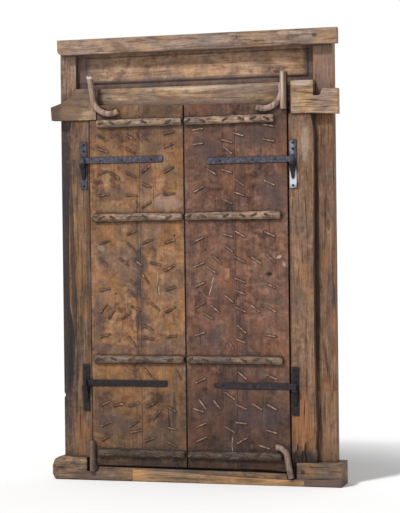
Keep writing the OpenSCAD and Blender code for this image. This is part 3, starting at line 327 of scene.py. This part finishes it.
# Bands: the values of a pattern between which an effect comes in
WARM_BAND = (0.46, 0.62)
GREY_BAND = (0.52, 0.36)
BLOTCH_BAND, BLOTCH_DEPTH = (0.54, 0.66), 0.6
FIBRE_BAND = (0.4, 0.56)
MOTTLE_BAND, MOTTLE_RANGE = (0.36, 0.64), (0.74, 1.16)
CRACK_BAND = (0.6, 0.66)
SCUFF_BAND, SCUFF_SHARE = (0.38, 0.32), 0.25
ROUGH_BAND, ROUGH_RANGE = (0.35, 0.65), (0.85, 0.66)
SHADE_WOBBLE = 0.3

# Shelter: distance in metres and samples, for broad painted shade, and for grime with painted shade close to
# what stands on the wood
WIDE_SHELTER, WIDE_BAND, WIDE_DEPTH = (0.12, 6), (0.4, 1.0), 0.6
NEAR_SHELTER, NEAR_BAND = (0.013, 8), (0.97, 0.5)

# Horns: depths (y) and heights (z) in metres between which their colour and light come in
HORN_FACE = (-0.0512, -0.0535)
HORN_HEIGHTS = (0.4, 0.6)
HORN_SHARE = 0.9
HORN_STREAK_BAND = (0.4, 0.6)
HORN_TOP_LIGHT = 0.95
# How much less of the grime and painted shade the horns take where they stand proud
HORN_LESS_GRIME_AND_SHADE = 0.7
TIP_WOBBLE, TIP_EDGE = 0.03, 0.008

# Stains and painted shade: softness and grain of the edge, the noise's detail and roughness, and how sharply
# they end at a piece's middle
SPOT_SOFT, SPOT_GRAIN = 0.4, 26.0
SPOT_NOISE = (5.0, 0.65)
FRONT_EDGE = 0.004

# Relief: what each pattern adds
STREAK_RELIEF, FIBRE_RELIEF, HEWN_RELIEF, FIGURE_RELIEF = 0.35, 0.12, 1.3, 0.5
CRACK_RELIEF_BAND, CRACK_RELIEF = (0.58, 0.66), 0.6

# Iron: the two noises, the tone's stops, and the rest
IRON_FINE, IRON_PATCH = (60.0, 4.0, 0.6), (17.0, 4.0, 0.6)
IRON_DARK, IRON_DARK_AT, IRON_MIDDLE_AT, IRON_LIGHT_AT = 0.78, 0.34, 0.52, 0.7
RUST_BAND = (0.52, 0.66)
BARE_SOFT, BARE_GRAIN = 0.3, 60.0
IRON_ROUGH_BAND, IRON_ROUGH_RANGE = (0.4, 0.65), (0.52, 0.8)
IRON_PATCH_RELIEF, IRON_RELIEF = 1.5, 0.0006
IRON_METAL, IRON_EDGE = 0.25, 0.0015

# Shader: how far and how finely edges are rounded, and the gloss
WOOD_EDGE, EDGE_SAMPLES, IOR = 0.004, 4, 1.4

# Sockets of the Mix node when it mixes colours
MIX_SHARE, MIX_A, MIX_B, MIX_RESULT = 0, 6, 7, 2


def rgb(r, g, b):
    """A colour as a screen writes it, 0 to 255, turned into the light that a socket takes."""
    linear = [(c / 255 / 12.92) if c < 11 else ((c / 255 + 0.055) / 1.055) ** 2.4 for c in (r, g, b)]
    return (*linear, 1)


class Graph:
    """The nodes of one material, or of the world."""

    def __init__(self, tree):
        self.tree = tree
        self.tree.nodes.clear()

    def add(self, kind, inputs=(), **settings):
        node = self.tree.nodes.new("ShaderNode" + kind)
        for key, value in settings.items():
            setattr(node, key, value)
        for key, value in dict(inputs).items():
            if isinstance(value, bpy.types.NodeSocket):
                self.tree.links.new(value, node.inputs[key])
            else:
                node.inputs[key].default_value = value
        return node

    def place(self, scale=(1, 1, 1), move=(0, 0, 0)):
        """Object coordinates, scaled and moved."""
        where = self.add("TexCoord").outputs["Object"]
        return self.add("Mapping", {"Vector": where, "Scale": scale, "Location": move}).outputs[0]

    def noise(self, vector, scale, detail, rough, twist=0.0):
        return self.add("TexNoise", {"Vector": vector, "Scale": scale, "Detail": detail,
                                     "Roughness": rough, "Distortion": twist}).outputs["Fac"]

    def maths(self, kind, a, b):
        return self.add("Math", {0: a, 1: b}, operation=kind).outputs[0]

    def plus(self, a, b):
        return self.maths("ADD", a, b)

    def minus(self, a, b):
        return self.maths("SUBTRACT", a, b)

    def times(self, a, b):
        return self.maths("MULTIPLY", a, b)

    def remap(self, value, start, end, to_start=0.0, to_end=1.0):
        return self.add("MapRange", {"Value": value, "From Min": start, "From Max": end,
                                     "To Min": to_start, "To Max": to_end},
                        interpolation_type="SMOOTHSTEP").outputs[0]

    def ramp(self, value, *stops):
        node = self.add("ValToRGB", {"Fac": value})
        marks = node.color_ramp.elements
        while len(marks) < len(stops):
            marks.new(0.5)
        for mark, (at, colour) in zip(marks, stops):
            mark.position, mark.color = at, colour
        return node.outputs["Color"]

    def mix(self, share, a, b, how="MIX"):
        node = self.add("Mix", {MIX_SHARE: share, MIX_A: a, MIX_B: b}, data_type="RGBA", blend_type=how)
        return node.outputs[MIX_RESULT]

    def shelter(self, distance, samples):
        """1 in the open, less where something stands within the distance."""
        return self.add("AmbientOcclusion", {"Distance": distance}, samples=samples).outputs["AO"]

    def spot(self, at, reach, turn, soft, ragged, grain):
        """1 inside an ellipse on the door's face, with a ragged edge. at and reach are (x, z) in metres."""
        where = self.add("TexCoord").outputs["Object"]
        local = self.add("Mapping", {"Vector": where, "Location": (at[0], 0, at[1]),
                                     "Rotation": (0, -math.radians(turn), 0),
                                     "Scale": (reach[0], 1.0, reach[1])}, vector_type="TEXTURE").outputs[0]
        flat = self.add("VectorMath", {0: local, 1: (1, 0, 1)}, operation="MULTIPLY").outputs[0]
        far = self.add("VectorMath", {0: flat}, operation="LENGTH").outputs["Value"]
        wobble = self.noise(self.place(), grain, *SPOT_NOISE)
        far = self.plus(far, self.times(self.minus(wobble, 0.5), 2 * ragged))
        return self.remap(far, 1 + soft, 1 - soft)

    def finish(self, colour, rough, height, depth, metal, edge):
        """The shader itself. depth is the relief in metres, edge the rounding of the edges."""
        rounded = self.add("Bevel", {"Radius": edge}, samples=EDGE_SAMPLES).outputs[0]
        bump = self.add("Bump", {"Height": height, "Distance": depth, "Strength": 1.0, "Normal": rounded})
        shader = self.add("BsdfPrincipled", {"Base Color": colour, "Roughness": rough, "Metallic": metal,
                                             "Normal": bump.outputs[0], "IOR": IOR})
        self.add("OutputMaterial", {"Surface": shader.outputs[0]})


def new_material(name):
    """An empty material and the graph of its nodes."""
    material = bpy.data.materials.new(name)
    material.use_nodes = True
    return material, Graph(material.node_tree)


def teak_patterns(g, along, long, seed, streaks):
    """The noises of one teak by name, each drawn out as it needs and moved by the seed."""
    grain = {"Z": (1.0, 1.0, long), "X": (long, 1.0, 1.0), "Y": (1.0, long, 1.0)}[along]
    half = tuple(v ** 0.5 for v in grain)
    fibres = tuple(v if v == 1.0 else FIBRE_STRETCH for v in grain)
    checks = tuple(v if v == 1.0 else CHECK_STRETCH * v for v in grain)
    spread = half if streaks > STREAKY else ROUND_STRETCH
    shift = (seed, seed * SEED_Y, seed * SEED_Z)
    far_shift = (seed + FAR_X, seed * SEED_Y, seed * SEED_Z + FAR_Z)
    places = {
        "streak": (grain, shift), "figure": (half, shift), "cloud": (spread, shift),
        "warmth": (WARMTH_STRETCH, far_shift), "broad": (BROAD_STRETCH, shift), "hewn": (HEWN_STRETCH, shift),
        "fibre": (fibres, shift), "mottle": (spread, far_shift), "check": (checks, far_shift),
    }
    return {name: g.noise(g.place(*places[name]), *PATTERNS[name]) for name in PATTERNS}


def teak_colour(g, seen, tones, streaks, warm, cool):
    """The wood's own colour: a tone from light to dark, with golden and greyed areas over it."""
    light, mid, dark, grey, gold = tones
    tone = g.times(seen["streak"], STREAK_PART * streaks)
    tone = g.plus(tone, g.times(seen["figure"], FIGURE_PART * streaks))
    tone = g.plus(tone, g.times(seen["cloud"], CLOUD_PART * (1 - streaks)))
    tone = g.plus(tone, g.times(seen["hewn"], HEWN_PART * (1 - streaks)))
    colour = g.ramp(tone, (DARK_AT, rgb(*dark)), (MIDDLE_AT, rgb(*mid)), (LIGHT_AT, rgb(*light)))
    colour = g.mix(g.remap(seen["warmth"], *WARM_BAND, 0.0, warm), colour, rgb(*gold))
    return g.mix(g.remap(seen["broad"], *GREY_BAND, 0.0, cool), colour, rgb(*grey))


def horn_colour(g, seen, height_at, proud, colour, woods, tip_from):
    """The horns' own wood where they stand proud, with a fresh tip above a height."""
    light, dark = woods
    tip = g.remap(g.plus(height_at, g.times(seen["hewn"], TIP_WOBBLE)), tip_from, tip_from + TIP_EDGE)
    horn_tone = g.mix(g.remap(seen["streak"], *HORN_STREAK_BAND), rgb(*dark), rgb(*light))
    colour = g.mix(g.times(proud, HORN_SHARE), colour, horn_tone)
    return g.mix(g.times(proud, tip), colour, rgb(*FRESH))


def teak_light(g, seen, height_at, fine, patches, shade, shade_and_grime):
    """How bright the wood is: blotches, fibres, mottling, shade by height and shade of what stands around."""
    blotch = g.remap(seen["cloud"], *BLOTCH_BAND, 1.0, 1.0 - BLOTCH_DEPTH * patches)
    value = g.times(g.times(blotch, fine), g.remap(seen["mottle"], *MOTTLE_BAND, *MOTTLE_RANGE))
    if shade:
        uneven = g.plus(height_at, g.times(g.minus(seen["cloud"], 0.5), SHADE_WOBBLE))
        for low_z, high_z, low_share, high_share in shade:
            value = g.times(value, g.remap(uneven, low_z, high_z, low_share, high_share))
    # Painted shade: broadly darker where other parts stand close, as deep as the shade-and-grime setting asks
    return g.times(value, g.remap(g.shelter(*WIDE_SHELTER), *WIDE_BAND, 1.0 - WIDE_DEPTH * shade_and_grime, 1.0))


def teak_relief(g, seen, fine, streaks, lines):
    """The height of the surface, for the bump."""
    height = g.plus(g.times(seen["streak"], STREAK_RELIEF * streaks), g.times(fine, FIBRE_RELIEF))
    height = g.plus(height, g.times(seen["hewn"], HEWN_RELIEF))
    height = g.plus(height, g.times(seen["figure"], FIGURE_RELIEF))
    return g.minus(height, g.times(g.remap(seen["check"], *CRACK_RELIEF_BAND), CRACK_RELIEF * lines))


def teak(name, tones, along, middle, seed, streaks=0.5, adze=0.003, pores=0.25, shade_and_grime=0.7, shade=(), stains_and_shade=(),
         warm=0.6, cool=0.6, patches=0.5, lines=0.55, long=0.07, gain=1.0, horn=None):
    """Old teak for one piece.

    along is the axis of the grain, middle the y of the piece's middle, and the tables' marks, stained and in
    painted shade, lie in front of it. seed moves the patterns. streaks is the share of long streaks against
    clouds and hewn patches, and long how far they are drawn out, where smaller is longer. adze is the relief
    in metres.
    pores, shade_and_grime, warm, cool, patches and lines are the strengths of fibres, painted shade and
    soiling where other parts stand close, golden areas, greyed areas, blotches and drying cracks. gain is the
    brightness of all tones. shade, stains_and_shade and horn are as in the tables above.
    """
    material, g = new_material(name)
    where = g.add("SeparateXYZ", {0: g.add("TexCoord").outputs["Object"]})
    depth_at, height_at = where.outputs[1], where.outputs[2]
    seen = teak_patterns(g, along, long, seed, streaks)
    fine = g.remap(seen["fibre"], *FIBRE_BAND, 1.0 - pores, 1.0)
    colour = teak_colour(g, seen, [tuple(c * gain for c in tone) for tone in tones], streaks, warm, cool)
    value = teak_light(g, seen, height_at, fine, patches, shade, shade_and_grime)
    # Grime and painted shade: darker close to what stands on the wood, as round nails, poles and horns
    grime_and_shade_share = g.remap(g.shelter(*NEAR_SHELTER), *NEAR_BAND, 0.0, shade_and_grime)
    if horn:
        woods, tip_from, foot_share = horn
        proud = g.remap(depth_at, *HORN_FACE)
        colour = horn_colour(g, seen, height_at, proud, colour, woods, tip_from)
        lit = g.remap(height_at, *HORN_HEIGHTS, foot_share, HORN_TOP_LIGHT)
        value = g.plus(value, g.times(proud, g.minus(lit, value)))
        # The horns take less of the grime and painted shade
        grime_and_shade_share = g.times(grime_and_shade_share, g.minus(1.0, g.times(proud, HORN_LESS_GRIME_AND_SHADE)))
    value = g.add("CombineColor", {0: value, 1: value, 2: value}).outputs[0]
    colour = g.mix(1.0, colour, value, "MULTIPLY")
    colour = g.mix(g.remap(seen["check"], *CRACK_BAND, 0.0, lines), colour, rgb(*SOOT_AND_SHADOW))
    colour = g.mix(g.remap(seen["check"], *SCUFF_BAND, 0.0, SCUFF_SHARE * lines), colour, rgb(*FRESH))
    front = g.remap(depth_at, middle + FRONT_EDGE, middle - FRONT_EDGE)
    for at, reach, turn, tint, share, ragged in stains_and_shade:
        spot = g.spot(at, reach, turn, SPOT_SOFT, ragged, SPOT_GRAIN)
        colour = g.mix(g.times(spot, g.times(front, share)), colour, rgb(*tint))
    colour = g.mix(grime_and_shade_share, colour, rgb(*GRIME_AND_SHADE_TONE))
    rough = g.remap(seen["streak"], *ROUGH_BAND, *ROUGH_RANGE)
    g.finish(colour, rough, teak_relief(g, seen, fine, streaks, lines), adze, 0.0, WOOD_EDGE)
    return material


def iron(name, bright, base, rust, seed, rusty, bare):
    """Forged iron: a dull skin with soft mottling, rust in patches, and bare metal at the places in bare."""
    material, g = new_material(name)
    fine = g.noise(g.place((1, 1, 1), (seed, seed, seed)), *IRON_FINE)
    patch = g.noise(g.place((1, 1, 1), (seed, 0, seed)), *IRON_PATCH)
    dark = [c * IRON_DARK for c in base]
    colour = g.ramp(fine, (IRON_DARK_AT, rgb(*dark)), (IRON_MIDDLE_AT, rgb(*base)),
                    (IRON_LIGHT_AT, rgb(*bright)))
    colour = g.mix(g.remap(patch, *RUST_BAND, 0.0, rusty), colour, rgb(*rust))
    for at, reach, turn, tint, share, ragged in bare:
        spot = g.spot(at, reach, turn, BARE_SOFT, ragged, BARE_GRAIN)
        colour = g.mix(g.times(spot, share), colour, rgb(*tint))
    rough = g.remap(patch, *IRON_ROUGH_BAND, *IRON_ROUGH_RANGE)
    height = g.plus(fine, g.times(patch, IRON_PATCH_RELIEF))
    g.finish(colour, rough, height, IRON_RELIEF, IRON_METAL, IRON_EDGE)
    return material


def wear(node, material):
    """Gives a CAD piece its material, on every one of its slots."""
    data = NODES[node].data
    if not data.materials:
        data.materials.append(material)
    for k in range(len(data.materials)):
        data.materials[k] = material
    for slot in NODES[node].material_slots:
        slot.material = material


def wood(node, tones, along, **settings):
    """Gives a piece a teak of its own, with its table's stained marks and painted shade on its front half."""
    near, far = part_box(node)
    wear(node, teak(node + "_teak", tones, along, (near[1] + far[1]) / 2, **settings))


def hew(node):
    """Makes a turned pole crooked and knotty, as a peeled branch is, and no thicker than the solid."""
    pole = NODES[node]
    skin = pole.modifiers.new("skin", "REMESH")
    skin.mode, skin.voxel_size, skin.use_smooth_shade = "VOXEL", SKIN_VOXEL, True
    for kind, extent, strength, level, way in POLE_RELIEFS:
        texture = bpy.data.textures.new(f"{node}_{kind}", "CLOUDS")
        texture.noise_scale, texture.noise_depth = extent, RELIEF_NOISE_DEPTH
        relief = pole.modifiers.new(kind, "DISPLACE")
        relief.texture, relief.texture_coords, relief.direction = texture, "LOCAL", way
        relief.strength, relief.mid_level = strength, level


def dress_woods():
    for node, tones, along, settings in WOODS:
        wood(node, tones, along, **settings)
    for k, side in enumerate(SIDES):
        for j, (place, gain) in enumerate(POLE_PLACES):
            node = f"{side}_{place}_pole"
            wood(node, POLE_WOOD, "X", seed=POLE_SEED + PLACE_STEP * j + SIDE_STEP * k, gain=gain, **POLE)
            hew(node)
    for node in SMALL_WOODS:
        wood(node, PLUG_WOOD, "Y", **SMALL_WOOD)


def iron_of(node):
    """The name of a node's iron, or None for wood."""
    if "pole_nails" in node:
        return "dull"
    if "clenched" in node:
        return "brown" if node.startswith("left") else "ruddy"
    if node == "upper_right_hinge_plate":
        return "silver"
    if node.startswith("upper") and ("strap" in node or "plate" in node):
        return "blue"
    if node == "lower_right_strap":
        return "plum"
    return "black" if any(word in node for word in ("strap", "hinge", "pintle")) else None


def dress_irons():
    made = {name: iron(name + "_iron", *settings) for name, settings in IRONS.items()}
    for node in NODES:
        if iron_of(node):
            wear(node, made[iron_of(node)])


def make_camera():
    yaw, pitch, roll = (math.radians(a) for a in (CAMERA_YAW, CAMERA_PITCH, CAMERA_ROLL))
    ahead = Vector((-math.sin(yaw) * math.cos(pitch), math.cos(yaw) * math.cos(pitch), math.sin(pitch)))
    side = Vector((math.cos(yaw), math.sin(yaw), 0))
    up = side.cross(ahead)
    right = math.cos(roll) * side + math.sin(roll) * up
    up = -math.sin(roll) * side + math.cos(roll) * up
    data = bpy.data.cameras.new("camera")
    data.lens, data.sensor_width = LENS_MM, SENSOR_MM
    data.clip_start, data.clip_end = CLIP_FROM, CLIP_TO
    camera = bpy.data.objects.new("camera", data)
    turned = Matrix((right, up, -ahead)).transposed().to_4x4()
    camera.matrix_world = Matrix.Translation(CAMERA_AT) @ turned
    scene.collection.objects.link(camera)
    bpy.context.scene.camera = camera


def make_floor():
    material, g = new_material("floor_white")
    far = g.add("VectorMath", {0: g.place((1, 1, 0))}, operation="LENGTH").outputs["Value"]
    share = g.times(g.remap(far, FADE_FROM, FADE_TO), g.add("LightPath").outputs["Is Camera Ray"])
    matt = g.add("BsdfDiffuse", {"Color": FLOOR_COLOUR}).outputs[0]
    white = g.add("Emission", {"Color": WHITE, "Strength": WHITE_STRENGTH}).outputs[0]
    g.add("OutputMaterial", {"Surface": g.add("MixShader", {0: share, 1: matt, 2: white}).outputs[0]})
    mesh = bpy.data.meshes.new("floor")
    corners = [(x * FLOOR_REACH, y * FLOOR_REACH, 0) for x, y in ((-1, -1), (1, -1), (1, 1), (-1, 1))]
    mesh.from_pydata(corners, [], [(0, 1, 2, 3)])
    mesh.materials.append(material)
    floor = bpy.data.objects.new("floor", mesh)
    floor.location.z = -FLOOR_DROP
    scene.collection.objects.link(floor)


def make_sky():
    """Soft light on the object, and plain white for the camera, for gloss and for what shines through."""
    world = bpy.data.worlds.new("world")
    world.use_nodes = True
    scene.world = world
    g = Graph(world.node_tree)
    path = g.add("LightPath").outputs
    direct = g.maths("MAXIMUM", path["Is Camera Ray"], path["Is Glossy Ray"])
    direct = g.maths("MAXIMUM", direct, path["Is Transmission Ray"])
    sky = g.add("Background", {"Color": WHITE, "Strength": SKY_STRENGTH}).outputs[0]
    white = g.add("Background", {"Color": WHITE, "Strength": WHITE_STRENGTH}).outputs[0]
    g.add("OutputWorld", {"Surface": g.add("MixShader", {0: direct, 1: sky, 2: white}).outputs[0]})


def make_sun():
    data = bpy.data.lights.new("sun", "SUN")
    data.energy, data.angle = SUN_STRENGTH, math.radians(SUN_SPREAD)
    sun = bpy.data.objects.new("sun", data)
    sun.rotation_mode = "QUATERNION"
    sun.rotation_quaternion = Vector(SUN_WAY).to_track_quat("-Z", "Y")
    scene.collection.objects.link(sun)


make_camera()
make_floor()
make_sky()
make_sun()
dress_woods()
dress_irons()
scene.view_settings.view_transform = "Standard"
